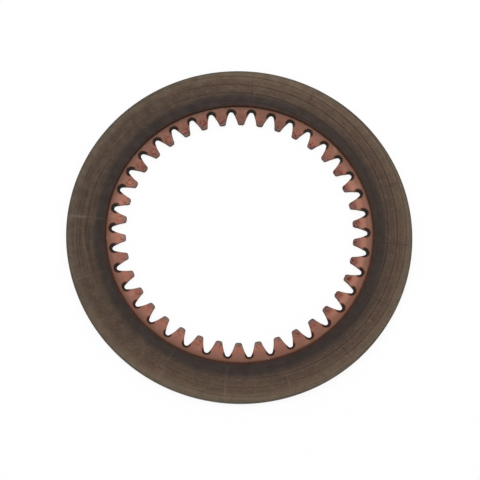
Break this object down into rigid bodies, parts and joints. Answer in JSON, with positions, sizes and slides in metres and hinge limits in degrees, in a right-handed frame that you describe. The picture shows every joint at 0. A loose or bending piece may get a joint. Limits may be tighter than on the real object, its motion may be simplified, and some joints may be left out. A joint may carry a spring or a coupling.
{
  "type": "clutch disc",
  "caption": "Flat internally toothed clutch friction disc: a copper-flashed steel core with grooved sintered bronze linings on both faces.",
  "frame": {"origin": "centre of the disc, half way through the core plate", "axes": "+Z along the disc's axis, out of the front face; +X and +Y in the plane of the disc, with the first tooth's centre line 3.83 degrees from +X towards +Y"},
  "size_m": [0.1642, 0.1642, 0.0024],
  "materials": {
    "copper_flashed_steel": "dull copper flash over steel, stained",
    "sintered_bronze": "matte sintered bronze, machined, oil-dark near the bore"
  },
  "bodies": {
    "root": {"core_plate": "copper_flashed_steel", "front_lining": "sintered_bronze", "rear_lining": "sintered_bronze"}
  },
  "joints": []
}
